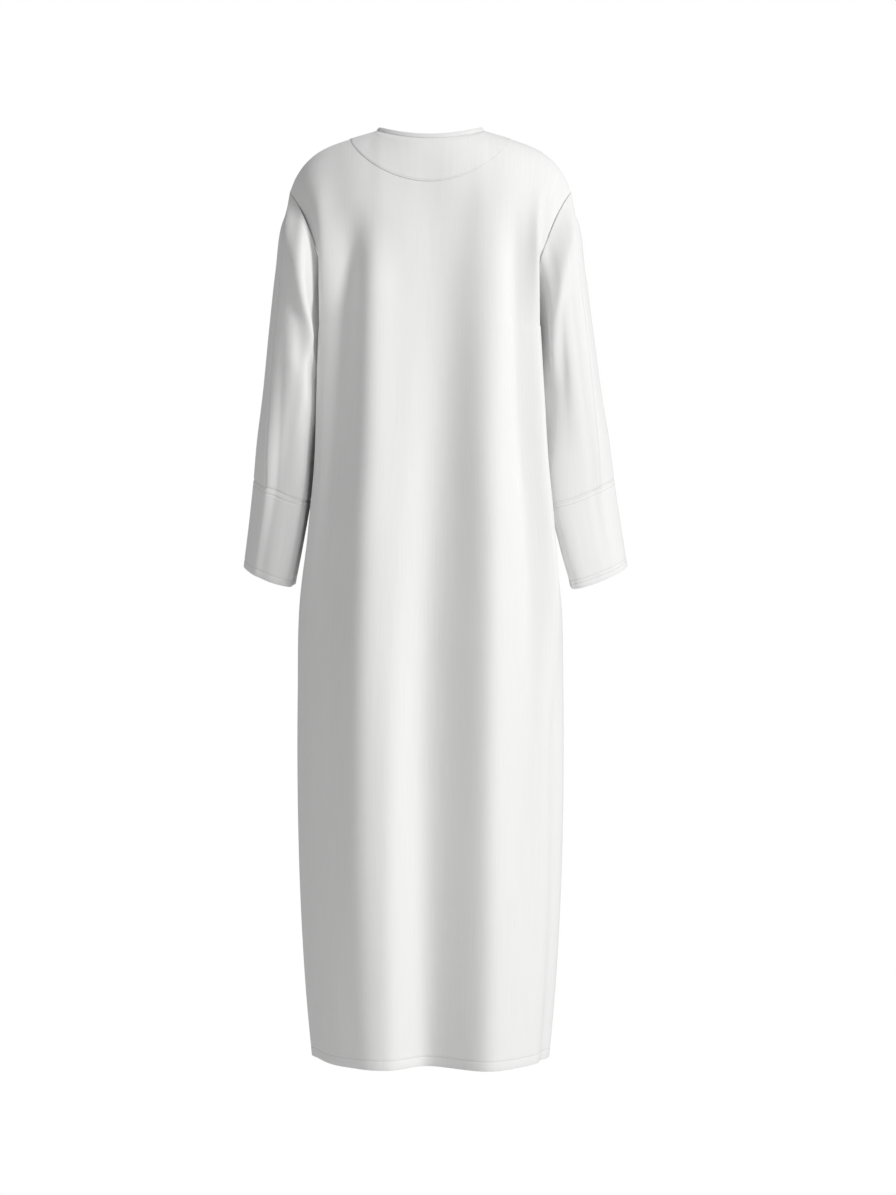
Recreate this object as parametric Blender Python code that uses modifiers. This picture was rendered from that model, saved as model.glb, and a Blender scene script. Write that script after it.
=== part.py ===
"""A plain white abaya as worn, hollow and open at neck, cuffs and hem, with no wearer.

Metres, +Z up. The origin lies midway between the two neck points, at the top of the
shoulders. The front faces -Y and the back +Y, and the wearer's left is +X. Every piece
is an open surface with its wall turned inwards, made from the same form, so that
neighbours meet along shared seams.
"""

from collections import namedtuple

import bmesh
import bpy
import numpy as np
from mathutils.kdtree import KDTree

# Driving sizes
LENGTH = 1.387
WALL = 0.0012
SEAM_GAP = 0.0003
LAID_GAP = 0.0005
MITRE_LIMIT = 5.0
MITRE_CUT = 0.08
SAME_POINT = 0.00001
NO_LENGTH = 0.000000001
UNDERARM_Z = -0.300
NECK_BAND_HEIGHT = 0.008
BAND_STAND_CENTRE = 0.30
BAND_STAND_SIDE = 1.50
YOKE_WALL = 0.0010
YOKE_ROOM = 0.0006
YOKE_HALF_WIDTH = 0.119
YOKE_TOP_Z = -0.0195
YOKE_DROP = 0.0735
YOKE_CURVE = 0.70
Block = namedtuple("Block", "front back top margin")
YOKE_BLOCK = Block(-0.030, 0.200, 0.060, 0.025)
YOKE_EDGE_STEPS = 28

FACES = ("back", "front")
SIDES = ("left", "right")

# Mesh density
NECK_COLUMNS = 6
SHOULDER_COLUMNS = 11
UPPER_ROWS = 11
SKIRT_ROWS = 18
SLEEVE_ROWS = 10
CUFF_ROWS = 4
YOKE_ROWS = 6
ROWS_CLOSER_AT_ARMHOLE = 1.25
CURVE_STEPS = 240

# The back and the front are each made as an upper and a lower solid, which meet at this
# row of the panel, a little below the underarm
JOIN_ROW = UPPER_ROWS + 2

# Share of the half girth from the centre line to the neck point
NECK_SHARE = 0.42

CLOTH_COLOUR = (0.86, 0.86, 0.85, 1.0)
CLOTH_ROUGHNESS = 0.85

# The body below the underarm: a rounded girth at each height. A corner of 2 is an
# ellipse and more is squarer.
Girth = namedtuple("Girth", "z half_width back_depth front_depth back_corner front_corner")
GIRTHS = (
    Girth(-0.300, 0.153, 0.098, 0.128, 3.6, 2.7),
    Girth(-0.400, 0.157, 0.099, 0.128, 3.5, 2.7),
    Girth(-0.500, 0.165, 0.102, 0.125, 3.2, 2.6),
    Girth(-0.600, 0.181, 0.107, 0.125, 2.9, 2.5),
    Girth(-0.700, 0.195, 0.112, 0.127, 2.7, 2.4),
    Girth(-0.850, 0.199, 0.118, 0.130, 2.6, 2.4),
    Girth(-1.000, 0.199, 0.122, 0.133, 2.5, 2.4),
    Girth(-1.150, 0.195, 0.128, 0.136, 2.5, 2.4),
    Girth(-1.300, 0.186, 0.133, 0.140, 2.5, 2.4),
    Girth(-LENGTH, 0.178, 0.135, 0.142, 2.5, 2.4),
)

# The shoulder seam, from the neck seam out to the armhole
SeamPoint = namedtuple("SeamPoint", "x y z")
SHOULDER_SEAM = (
    SeamPoint(0.082, -0.006, -0.0050),
    SeamPoint(0.100, -0.007, -0.0105),
    SeamPoint(0.123, -0.008, -0.0170),
    SeamPoint(0.148, -0.008, -0.0248),
    SeamPoint(0.168, -0.008, -0.0345),
    SeamPoint(0.189, -0.007, -0.0525),
    SeamPoint(0.203, -0.006, -0.0725),
    SeamPoint(0.212, -0.006, -0.0945),
)

# How far and how soon columns are eased into each other below the top edge
EASE_WIDTH = 0.13
EASE_LEVEL = 0.28
EASE_END = 6
EASE_STEPS = 15

# The neck seam below the band, and the powers that round it off
NECK_BACK = SeamPoint(0.0, 0.0640, -0.0265)
NECK_SIDE = SHOULDER_SEAM[0]
NECK_FRONT = SeamPoint(0.0, -0.1080, -0.1350)
NeckRound = namedtuple("NeckRound", "x y z")
NECK_ROUND = {"back": NeckRound(1.0, 0.85, 1.5), "front": NeckRound(1.15, 0.85, 1.2)}

# How the cloth leaves the top edge (pull) and arrives at the underarm level (rise)
Drape = namedtuple("Drape", "share pull_x pull_y pull_z rise_x rise_y rise_z")
BACK_DRAPE = (
    Drape(0.00, 0.000, 0.024, -0.042, 0.000, -0.001, 0.110),
    Drape(0.25, 0.001, 0.050, -0.026, -0.001, -0.001, 0.140),
    Drape(0.42, 0.002, 0.085, -0.003, -0.003, 0.000, 0.170),
    Drape(0.70, 0.000, 0.068, -0.006, 0.004, 0.012, 0.150),
    Drape(0.86, -0.008, 0.062, -0.014, 0.002, 0.045, 0.115),
    Drape(1.00, -0.024, 0.056, -0.034, -0.003, 0.088, 0.090),
)
FRONT_DRAPE = (
    Drape(0.00, 0.000, -0.012, -0.050, 0.000, 0.000, 0.050),
    Drape(0.16, 0.000, -0.014, -0.050, 0.000, 0.000, 0.060),
    Drape(0.30, 0.001, -0.034, -0.036, -0.001, 0.000, 0.100),
    Drape(0.42, 0.002, -0.078, -0.004, -0.003, -0.001, 0.160),
    Drape(0.70, 0.000, -0.066, -0.008, 0.004, -0.011, 0.145),
    Drape(0.86, -0.008, -0.058, -0.016, 0.002, -0.040, 0.110),
    Drape(1.00, -0.022, -0.052, -0.032, -0.003, -0.078, 0.085),
)

# Folds of the body, across as a share of the half girth (left is positive). A depth
# above nought stands out and one below it sinks in.
Fold = namedtuple(
    "Fold",
    "name share_top share_low width_top width_low depth_top depth_middle depth_low z_top z_low",
)
BACK_FOLDS = (
    Fold("centre valley", -0.026, 0.034, 0.156, 0.256, -0.0043, -0.0134, -0.0548, -0.054, -1.523),
    Fold("left lobe", 0.399, 0.313, 0.143, 0.146, 0.0117, 0.0257, 0.0160, -0.142, -1.277),
    Fold("right lobe", -0.394, -0.310, 0.205, 0.110, -0.0022, 0.0287, 0.0116, -0.109, -1.250),
    Fold("left trough", 0.524, 0.720, 0.086, 0.211, -0.0174, -0.0100, -0.0080, -0.111, -0.850),
    Fold("left fold edge", 0.751, 0.829, 0.110, 0.110, 0.0022, 0.0162, -0.0019, -0.016, -0.721),
    Fold("right trough", -0.582, -0.581, 0.072, 0.097, -0.0074, -0.0114, -0.0025, -0.094, -0.983),
    Fold("right fold edge", -0.747, -0.776, 0.052, 0.070, 0.0066, 0.0177, -0.0063, -0.072, -0.892),
    Fold("left hip", 0.521, 0.420, 0.220, 0.119, -0.0072, 0.0006, -0.0057, -0.584, -1.379),
    Fold("right hip", -0.479, -0.423, 0.106, 0.157, -0.0053, -0.0046, 0.0057, -0.578, -1.252),
    Fold("left shoulder blade", 0.122, 0.188, 0.169, 0.090, -0.0066, 0.0078, 0.0155, -0.010, -0.944),
    Fold("right shoulder blade", -0.194, -0.171, 0.152, 0.156, -0.0057, -0.0049, 0.0074, -0.041, -0.763),
)
FRONT_FOLDS = (
    Fold("centre valley", 0.060, -0.020, 0.160, 0.250, -0.0010, -0.0120, -0.0420, -0.240, -1.500),
    Fold("left lobe", 0.400, 0.310, 0.160, 0.140, 0.0040, 0.0160, 0.0140, -0.210, -1.300),
    Fold("right lobe", -0.370, -0.300, 0.180, 0.130, 0.0030, 0.0180, 0.0120, -0.190, -1.280),
    Fold("left trough", 0.560, 0.660, 0.090, 0.150, -0.0080, -0.0080, -0.0050, -0.170, -1.000),
    Fold("left fold edge", 0.780, 0.820, 0.100, 0.100, 0.0040, 0.0120, 0.0000, -0.120, -0.800),
    Fold("right trough", -0.600, -0.640, 0.110, 0.100, -0.0070, -0.0100, -0.0030, -0.160, -1.050),
    Fold("right fold edge", -0.760, -0.800, 0.090, 0.090, 0.0040, 0.0100, 0.0000, -0.120, -0.850),
    Fold("left hip", 0.520, 0.460, 0.150, 0.140, -0.0030, 0.0050, 0.0000, -0.600, -1.350),
    Fold("right hip", -0.500, -0.450, 0.120, 0.170, -0.0040, -0.0030, 0.0040, -0.560, -1.300),
)
FOLD_RUN_IN = 0.12
SEAM_FADE = 0.15
TOP_FADE = 0.22
SLEEVE_SEAM_FADE = 0.20
CREASE_SWELL = 1.5

# Rings of the sleeve below the armhole loop, for the wearer's left side. The tilt
# turns the outer side up, the pitch lifts the front, and the seam angle is where the
# overarm seam lies.
Ring = namedtuple("Ring", "name x y z half_span tilt pitch half_depth seam_angle")
SLEEVE_RINGS = (
    Ring("cap", 0.1903, 0.000, -0.2290, 0.0912, 69.4, 0.0, 0.068, 30.0),
    Ring("upper arm", 0.1965, -0.001, -0.2850, 0.0790, 63.0, 1.0, 0.072, 41.0),
    Ring("mid arm", 0.2050, -0.004, -0.3480, 0.0590, 50.0, 3.0, 0.073, 43.0),
    Ring("elbow", 0.2125, -0.010, -0.4250, 0.0510, 36.0, 5.0, 0.070, 47.0),
    Ring("forearm", 0.2205, -0.020, -0.4930, 0.0490, 24.0, 7.0, 0.066, 54.0),
    Ring("cuff seam", 0.2260, -0.028, -0.5400, 0.0478, 20.0, 8.0, 0.063, 60.0),
)
CUFF_RINGS = (
    Ring("cuff middle", 0.2360, -0.038, -0.6030, 0.0460, 20.0, 9.0, 0.062, 60.0),
    Ring("cuff hem", 0.2475, -0.048, -0.6680, 0.0440, 19.0, 9.5, 0.061, 60.0),
)

# How the two arms differ: the swing out and the spread of the ring at the cuff hem
Arm = namedtuple("Arm", "swing spread")
ARMS = {"left": Arm(-0.003, 0.95), "right": Arm(0.0075, 1.05)}
ARM_CHANGE = (-0.30, -0.67)

# Creases of the sleeves. The angle is 0 outside, 90 in front, 180 inside, 270 behind,
# and along runs from 0 at the armhole to 1 at the cuff seam and on over the cuff.
Crease = namedtuple(
    "Crease", "name side angle_top angle_low width depth along_top along_low"
)
SLEEVE_CREASES = (
    Crease("body dent", "left", 228.0, 216.0, 26.0, -0.011, -0.15, 0.60),
    Crease("shoulder tuck", "left", 319.7, 210.4, 18.7, 0.0109, -0.08, 0.38),
    Crease("armhole tuck", "left", 294.7, 219.9, 35.5, 0.0109, -0.09, 0.39),
    Crease("upper outer line", "left", 307.9, 232.1, 22.3, -0.0023, 0.07, 0.53),
    Crease("upper fold", "left", 240.0, 243.7, 10.2, 0.0092, 0.02, 0.61),
    Crease("upper hollow", "left", 252.9, 266.5, 22.6, -0.0051, 0.47, 1.03),
    Crease("elbow fold", "left", 294.1, 275.5, 31.5, -0.0085, 0.26, 1.29),
    Crease("cuff fold", "left", 230.0, 229.6, 16.4, 0.0108, 0.46, 1.81),
    Crease("outer cuff fold", "left", 232.0, 267.9, 12.7, 0.0105, 0.67, 1.71),
    Crease("cuff hollow", "left", 313.7, 296.6, 16.0, -0.0106, 0.45, 1.65),
    Crease("front drag line", "left", 70.0, 125.0, 24.0, -0.007, 0.05, 0.45),
    Crease("upper outer line", "right", 278.9, 218.2, 11.9, 0.0070, 0.04, 0.60),
    Crease("armhole fold", "right", 259.5, 226.8, 14.0, 0.0107, -0.24, 0.85),
    Crease("shoulder hollow", "right", 302.9, 267.1, 23.5, -0.0051, -0.07, 0.98),
    Crease("upper fold", "right", 246.9, 226.3, 10.0, 0.0105, -0.04, 1.20),
    Crease("long fold", "right", 240.5, 232.6, 21.9, 0.0109, 0.47, 1.40),
    Crease("elbow line", "right", 314.7, 297.2, 21.9, -0.0053, 0.25, 1.43),
    Crease("cuff fold", "right", 217.8, 251.9, 16.1, 0.0110, 0.48, 2.02),
    Crease("broad cuff fold", "right", 233.4, 238.8, 33.2, 0.0109, 0.72, 1.89),
    Crease("front drag line", "right", 75.0, 130.0, 24.0, -0.007, 0.05, 0.42),
)


def column(table, name):
    """One named column of a table."""
    return np.array([getattr(row, name) for row in table], float)


def smooth(places, values, wanted):
    """A smooth curve through the values at their places, read at the wanted ones."""
    places = np.asarray(places, float)
    values = np.asarray(values, float)
    if places[0] > places[-1]:
        places, values = places[::-1], values[::-1]
    slopes = np.gradient(values, places, axis=0)
    wanted = np.clip(wanted, places[0], places[-1])
    left = np.clip(np.searchsorted(places, wanted) - 1, 0, len(places) - 2)
    span = places[left + 1] - places[left]
    t = (wanted - places[left]) / span
    spread = np.shape(wanted) + (1,) * (values.ndim - 1)
    t, span = np.reshape(t, spread), np.reshape(span, spread)
    return (
        (2 * t**3 - 3 * t**2 + 1) * values[left]
        + (t**3 - 2 * t**2 + t) * span * slopes[left]
        + (3 * t**2 - 2 * t**3) * values[left + 1]
        + (t**3 - t**2) * span * slopes[left + 1]
    )


def ramp(values, start, end):
    """Rises smoothly from 0 at the start to 1 at the end."""
    t = np.clip((values - start) / (end - start), 0.0, 1.0)
    return t * t * (3.0 - 2.0 * t)


def lengths_along(points):
    """Distance of each point of a line from its first one."""
    steps = np.linalg.norm(np.diff(points, axis=0), axis=1)
    return np.concatenate(([0.0], np.cumsum(steps)))


def along_curve(points, shares):
    """Points at the given shares of a curve's length."""
    length = lengths_along(points)
    return np.stack(
        [np.interp(shares * length[-1], length, points[:, axis]) for axis in range(3)],
        axis=-1,
    )


def unit(vectors):
    return vectors / np.maximum(np.linalg.norm(vectors, axis=-1, keepdims=True), NO_LENGTH)


def girth_points(face, shares, z):
    """Points of one half girth at a height, at shares of its length from the centre."""
    half_width = smooth(column(GIRTHS, "z"), column(GIRTHS, "half_width"), z)
    depth = smooth(column(GIRTHS, "z"), column(GIRTHS, face + "_depth"), z)
    corner = smooth(column(GIRTHS, "z"), column(GIRTHS, face + "_corner"), z)
    turn = np.linspace(0.0, np.pi / 2, CURVE_STEPS + 1)
    power = 2.0 / corner
    back = 1.0 if face == "back" else -1.0
    curve = np.stack(
        [
            half_width * np.sin(turn) ** power,
            back * depth * np.clip(np.cos(turn), 0.0, 1.0) ** power,
            np.full_like(turn, z),
        ],
        axis=-1,
    )
    return along_curve(curve, shares)


def neck_curve(face, turns):
    """The neck seam from the centre (turn 0) to the neck point (turn 1)."""
    centre = NECK_BACK if face == "back" else NECK_FRONT
    rounded = NECK_ROUND[face]
    sine = np.sin(turns * np.pi / 2)
    cosine = np.clip(np.cos(turns * np.pi / 2), 0.0, 1.0)
    x = NECK_SIDE.x * sine**rounded.x
    y = NECK_SIDE.y + (centre.y - NECK_SIDE.y) * cosine**rounded.y
    z = NECK_SIDE.z + (centre.z - NECK_SIDE.z) * cosine**rounded.z
    return np.stack([x, y, z], axis=-1)


def top_edge(face, shares):
    """Neck seam and shoulder seam as one curve, at shares of the half width."""
    dense = np.linspace(0.0, 1.0, CURVE_STEPS + 1)
    neck = along_curve(neck_curve(face, dense), np.clip(shares / NECK_SHARE, 0.0, 1.0))
    seam = np.array(SHOULDER_SEAM)
    length = lengths_along(seam)
    outer = np.clip((shares - NECK_SHARE) / (1.0 - NECK_SHARE), 0.0, 1.0)
    shoulder = smooth(length, seam, outer * length[-1])
    return np.where((shares < NECK_SHARE)[..., None], neck, shoulder)


def upper_points(face, shares, levels):
    """Cloth from the top edge (level 0) to the underarm level (level 1), one half."""
    table = BACK_DRAPE if face == "back" else FRONT_DRAPE
    places = column(table, "share")
    pull = np.stack(
        [smooth(places, column(table, "pull_" + axis), shares) for axis in "xyz"], axis=-1
    )
    rise = np.stack(
        [smooth(places, column(table, "rise_" + axis), shares) for axis in "xyz"], axis=-1
    )
    start = top_edge(face, shares)
    end = girth_points(face, shares, UNDERARM_Z)
    t = levels[:, None, None]
    return (
        (1 - t) ** 3 * start
        + 3 * (1 - t) ** 2 * t * (start + pull)
        + 3 * (1 - t) * t**2 * (end + rise)
        + t**3 * end
    )


def eased_points(face, shares, levels):
    """The upper cloth with its columns eased into each other below the top edge."""
    width = EASE_WIDTH * ramp(levels, 0.0, EASE_LEVEL)[:, None] * (1.0 - shares**EASE_END)
    offsets = np.linspace(-1.0, 1.0, EASE_STEPS)
    weights = 1.0 + np.cos(np.pi * offsets)
    eased = 0.0
    for offset, weight in zip(offsets, weights / weights.sum()):
        moved = shares + offset * width
        points = upper_points(face, np.minimum(np.abs(moved), 1.0), levels)
        points[..., 0] *= np.where(moved < 0.0, -1.0, 1.0)
        eased = eased + weight * points
    return eased


def half_form(face, shares, levels, heights):
    """The smooth cloth of one half (x above nought) down to the hem."""
    upper = eased_points(face, shares, levels)
    skirt = np.stack([girth_points(face, shares, z) for z in heights])
    return np.concatenate([upper, skirt])


def grid_normals(points):
    """Unit normals of a grid whose columns run clockwise seen from above."""
    across = np.gradient(points, axis=1)
    down = np.gradient(points, axis=0)
    return unit(np.cross(across, down))


def fold_depth(fold, shares, z):
    """How far a fold moves the cloth at each share and height."""
    run = np.clip((fold.z_top - z) / (fold.z_top - fold.z_low), 0.0, 1.0)
    centre = fold.share_top + (fold.share_low - fold.share_top) * run
    width = fold.width_top + (fold.width_low - fold.width_top) * run
    depth = smooth(
        (0.0, 0.5, 1.0), (fold.depth_top, fold.depth_middle, fold.depth_low), run
    )
    inside = ramp(-z, -fold.z_top, -fold.z_top + FOLD_RUN_IN)
    return depth * inside * np.exp(-(((shares - centre) / width) ** 2))


def panel_form(face):
    """Front or back, with its folds, columns clockwise seen from above."""
    neck = np.linspace(0.0, NECK_SHARE, NECK_COLUMNS + 1)
    shoulder = np.linspace(NECK_SHARE, 1.0, SHOULDER_COLUMNS + 1)
    half = np.concatenate([neck, shoulder[1:]])
    levels = np.linspace(0.0, 1.0, UPPER_ROWS + 1)
    heights = np.linspace(UNDERARM_Z, -LENGTH, SKIRT_ROWS + 1)[1:]
    left = half_form(face, half, levels, heights)
    right = left[:, :0:-1] * np.array((-1.0, 1.0, 1.0))
    points = np.concatenate([right, left], axis=1)
    shares = np.concatenate([-half[:0:-1], half])
    if face == "front":
        points, shares = points[:, ::-1], shares[::-1]
    folds = BACK_FOLDS if face == "back" else FRONT_FOLDS
    depth = sum(fold_depth(fold, shares[None, :], points[..., 2]) for fold in folds)
    depth = depth * (1.0 - ramp(np.abs(shares), 1.0 - SEAM_FADE, 1.0))
    depth[: len(levels)] *= ramp(levels, 0.0, TOP_FADE)[:, None]
    return points + depth[..., None] * grid_normals(points)


GridEdge = namedtuple("GridEdge", "axis place turn")
GRID_EDGES = {
    "top": GridEdge(0, 0, -1),
    "bottom": GridEdge(0, -1, 1),
    "start": GridEdge(1, 0, 1),
    "end": GridEdge(1, -1, -1),
}


def mitres(grids):
    """For each grid point, the way through the wall in walls, shared where grids meet.

    Stepping back along it by one wall goes one wall deep under every grid at that point.
    """
    points = np.concatenate([grid.reshape(-1, 3) for grid in grids.values()])
    normals = np.concatenate([grid_normals(grid).reshape(-1, 3) for grid in grids.values()])
    tree = KDTree(len(points))
    for index, point in enumerate(points):
        tree.insert(point, index)
    tree.balance()
    through = []
    for point in points:
        meeting = normals[[found[1] for found in tree.find_range(point, SAME_POINT)]]
        way = np.linalg.lstsq(meeting, np.ones(len(meeting)), rcond=MITRE_CUT)[0]
        through.append(way * min(1.0, MITRE_LIMIT / np.linalg.norm(way)))
    counts = [grid.shape[0] * grid.shape[1] for grid in grids.values()]
    pieces = np.split(np.array(through), np.cumsum(counts)[:-1])
    return {name: piece.reshape(grids[name].shape) for name, piece in zip(grids, pieces)}


def draw_in(points, through, seams):
    """Draws the sewn stretches of a grid in by half a gap, square to seam and wall."""
    step = np.zeros_like(points)
    for side, stretch in seams:
        edge = GRID_EDGES[side]
        line = points.take(edge.place, edge.axis)[stretch]
        wall = through.take(edge.place, edge.axis)[stretch]
        inwards = edge.turn * unit(np.cross(np.gradient(line, axis=0), wall))
        inwards[0], inwards[-1] = inwards[1], inwards[-2]
        np.moveaxis(step, edge.axis, 0)[edge.place, stretch] += SEAM_GAP / 2 * inwards
    return points + step


def cloth_material(name):
    material = bpy.data.materials.new(name)
    material.use_nodes = True
    shader = material.node_tree.nodes["Principled BSDF"]
    shader.inputs["Base Color"].default_value = CLOTH_COLOUR
    shader.inputs["Roughness"].default_value = CLOTH_ROUGHNESS
    shader.inputs["Metallic"].default_value = 0.0
    return material


def add_grid(shape, points):
    """Adds a grid to a mesh, with its corners at the given points."""
    rows, columns = points.shape[:2]
    made = bmesh.ops.create_grid(shape, x_segments=columns - 1, y_segments=rows - 1, size=1.0)
    for vert in made["verts"]:
        across = round((vert.co.x + 1.0) / 2.0 * (columns - 1))
        down = round((vert.co.y + 1.0) / 2.0 * (rows - 1))
        vert.co = points[down, across]


def triangulate(shape, method="FIXED"):
    bmesh.ops.triangulate(shape, faces=shape.faces, quad_method=method, ngon_method="BEAUTY")


def finish_piece(name, shape):
    """Turns a mesh into a named object with its own material."""
    mesh = bpy.data.meshes.new(name)
    shape.to_mesh(mesh)
    shape.free()
    mesh.shade_smooth()
    mesh.materials.append(cloth_material(name + "_cloth"))
    piece = bpy.data.objects.new(name, mesh)
    abaya.objects.link(piece)
    return piece


def sewn_piece(name, seams):
    """A walled piece that keeps half a gap from every piece that it is sewn to."""
    outer = draw_in(PIECES[name], THROUGH[name], seams)
    shape = bmesh.new()
    add_grid(shape, outer)
    add_grid(shape, outer - WALL * THROUGH[name])
    triangulate(shape)
    bmesh.ops.bridge_loops(shape, edges=[edge for edge in shape.edges if edge.is_boundary])
    triangulate(shape, "SHORT_EDGE")
    bmesh.ops.recalc_face_normals(shape, faces=shape.faces)
    return finish_piece(name, shape)


def laid_piece(name, points, wall, closed=False):
    """A piece of even wall from a grid of points, its outer side at the points."""
    shape = bmesh.new()
    add_grid(shape, points)
    if closed:
        bmesh.ops.remove_doubles(shape, verts=shape.verts, dist=SAME_POINT)
    triangulate(shape)
    piece = finish_piece(name, shape)
    solid = piece.modifiers.new("Wall", "SOLIDIFY")
    solid.thickness = wall
    solid.offset = -1.0
    solid.use_even_offset = False
    return piece


def armhole_side(side, face):
    """The side of a panel's grid where a sleeve is set in."""
    return "end" if (side == "left") == (face == "back") else "start"


def body_panel(face):
    """The front or back panel, sewn at the shoulders, armholes and sides."""
    seams = [("top", slice(None)), ("bottom", slice(None))]
    for side in ("start", "end"):
        seams += [(side, slice(0, UPPER_ROWS + 1)), (side, slice(UPPER_ROWS, None))]
    sewn_piece(f"upper_{face}_panel", seams)
    sewn_piece(f"lower_{face}_panel", [(side, slice(None)) for side in ("top", "start", "end")])


def yoke_line(x):
    """Height of the half-moon's lower edge at a distance from the centre."""
    reach = np.clip(1.0 - (x / YOKE_HALF_WIDTH) ** 2, 0.0, 1.0)
    return YOKE_TOP_Z - YOKE_DROP * reach**YOKE_CURVE


def yoke_cutter():
    """A block whose lower side is the half-moon's edge."""
    across = np.linspace(-YOKE_HALF_WIDTH, YOKE_HALF_WIDTH, YOKE_EDGE_STEPS + 1)
    outline = [(x, yoke_line(x)) for x in across]
    outline += [(YOKE_HALF_WIDTH, YOKE_BLOCK.top), (-YOKE_HALF_WIDTH, YOKE_BLOCK.top)]
    shape = bmesh.new()
    face = shape.faces.new([shape.verts.new((x, YOKE_BLOCK.front, z)) for x, z in outline])
    grown = bmesh.ops.extrude_face_region(shape, geom=[face])
    moved = [item for item in grown["geom"] if isinstance(item, bmesh.types.BMVert)]
    bmesh.ops.translate(shape, verts=moved, vec=(0.0, YOKE_BLOCK.back - YOKE_BLOCK.front, 0.0))
    bmesh.ops.recalc_face_normals(shape, faces=shape.faces)
    mesh = bpy.data.meshes.new("half_moon_cutter")
    shape.to_mesh(mesh)
    shape.free()
    cutter = bpy.data.objects.new("half_moon_cutter", mesh)
    cutter.hide_render = True
    cutter.display_type = "WIRE"
    cutters.objects.link(cutter)
    return cutter


def half_moon_yoke():
    """The half-moon on the back, made from the back's points moved out, then cut."""
    laid = PANELS["back"] + (LAID_GAP + YOKE_WALL) * grid_normals(PANELS["back"])
    laid = laid[: YOKE_ROWS + 1, np.abs(laid[0, :, 0]) < YOKE_HALF_WIDTH + YOKE_BLOCK.margin]
    laid[0] += YOKE_ROOM * unit(laid[1] - laid[0])
    piece = laid_piece("half_moon_yoke", laid, YOKE_WALL)
    trimmed = piece.modifiers.new("Half-moon", "BOOLEAN")
    trimmed.operation = "INTERSECT"
    trimmed.object = yoke_cutter()
    return piece


def neck_band():
    """The narrow band round the neck edge, one closed ring standing on the neck seam."""
    line, normal = [], []
    for face in FACES:
        neck = np.abs(PANELS[face][0, :, 0]) < NECK_SIDE.x + SEAM_GAP
        line.append(PANELS[face][0, neck][:-1])
        normal.append(grid_normals(PANELS[face])[0, neck][:-1])
    line, normal = np.concatenate(line), np.concatenate(normal)
    normal = unit(np.roll(normal, 1, axis=0) + 2 * normal + np.roll(normal, -1, axis=0))
    along = unit(np.roll(line, -1, axis=0) - np.roll(line, 1, axis=0))
    inwards = unit(np.cross(along, normal))
    stand = BAND_STAND_CENTRE + (BAND_STAND_SIDE - BAND_STAND_CENTRE) * (
        np.abs(line[:, :1]) / NECK_SIDE.x
    )
    lean = unit(inwards + stand * np.array((0.0, 0.0, 1.0)))
    rises = (NECK_BAND_HEIGHT, NECK_BAND_HEIGHT / 2, SEAM_GAP)
    grid = np.stack([line + rise * lean for rise in rises])
    ring = np.concatenate([grid, grid[:, :1]], axis=1)
    return laid_piece("neck_band", ring, WALL, closed=True)


def ring_point(ring, angles, side):
    """Points round a sleeve ring at angles from the outer side, front first."""
    turn = np.radians(angles)
    tilt = np.radians(ring.tilt)
    change = np.clip((ARM_CHANGE[0] - ring.z) / (ARM_CHANGE[0] - ARM_CHANGE[1]), 0.0, 1.0)
    spread = 1.0 + (ARMS[side].spread - 1.0) * change
    out = spread * ring.half_span * np.cos(turn)
    ahead = ring.half_depth * np.sin(turn)
    return np.stack(
        [
            ring.x + ARMS[side].swing * change + out * np.cos(tilt),
            ring.y - ahead,
            ring.z + out * np.sin(tilt) + ahead * np.tan(np.radians(ring.pitch)),
        ],
        axis=-1,
    )


def ring_angles(ring, face):
    """Angles of one half sleeve's columns on a ring, from the overarm seam inwards."""
    shares = np.linspace(0.0, 1.0, UPPER_ROWS + 1)
    if face == "front":
        return -ring.seam_angle + (180.0 + ring.seam_angle) * shares
    return 360.0 - ring.seam_angle - (180.0 - ring.seam_angle) * shares


def crease_depth(side, angles, along):
    """How far the creases of one sleeve move its cloth."""
    depth = np.zeros(np.broadcast(angles, along).shape)
    for crease in SLEEVE_CREASES:
        if crease.side != side:
            continue
        run = (along - crease.along_top) / (crease.along_low - crease.along_top)
        centre = crease.angle_top + (crease.angle_low - crease.angle_top) * run
        swell = np.sin(np.pi * np.clip(run, 0.0, 1.0)) ** CREASE_SWELL
        away = (angles - centre + 180.0) % 360.0 - 180.0
        depth = depth + crease.depth * swell * np.exp(-((away / crease.width) ** 2))
    return depth


def armhole_line(side, face):
    """The armhole's half loop on a panel, from the shoulder seam down."""
    return PANELS[face][: UPPER_ROWS + 1, -1 if armhole_side(side, face) == "end" else 0]


def arm_form(side, face):
    """The front or back half of a sleeve and its cuff, from the armhole to the hem."""
    mirror = np.array((1.0 if side == "left" else -1.0, 1.0, 1.0))
    shares = np.linspace(0.0, 1.0, UPPER_ROWS + 1)
    angles = [180.0 * shares if face == "front" else 360.0 - 180.0 * shares]
    loops = [armhole_line(side, face)]
    centres = [np.mean([armhole_line(side, half) for half in FACES], axis=(0, 1))]
    for ring in SLEEVE_RINGS + CUFF_RINGS:
        angles.append(ring_angles(ring, face))
        loops.append(ring_point(ring, angles[-1], side) * mirror)
        centres.append(mirror * (ring.x, ring.y, ring.z))
    loops, angles = np.stack(loops), np.stack(angles)
    length = lengths_along(np.array(centres))
    seam = length[len(SLEEVE_RINGS)]
    sleeve = seam * np.linspace(0.0, 1.0, SLEEVE_ROWS + 1) ** ROWS_CLOSER_AT_ARMHOLE
    along = np.concatenate([sleeve, np.linspace(seam, length[-1], CUFF_ROWS + 1)[1:]])
    points = smooth(length, loops, along)
    turn = smooth(length, angles, along)
    if armhole_side(side, face) == "end":
        points, turn = points[:, ::-1], turn[:, ::-1]
    fade = ramp(shares, 0.0, SLEEVE_SEAM_FADE) * ramp(1.0 - shares, 0.0, SLEEVE_SEAM_FADE)
    depth = crease_depth(side, turn, along[:, None] / seam) * fade
    return points + depth[..., None] * grid_normals(points)


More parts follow.
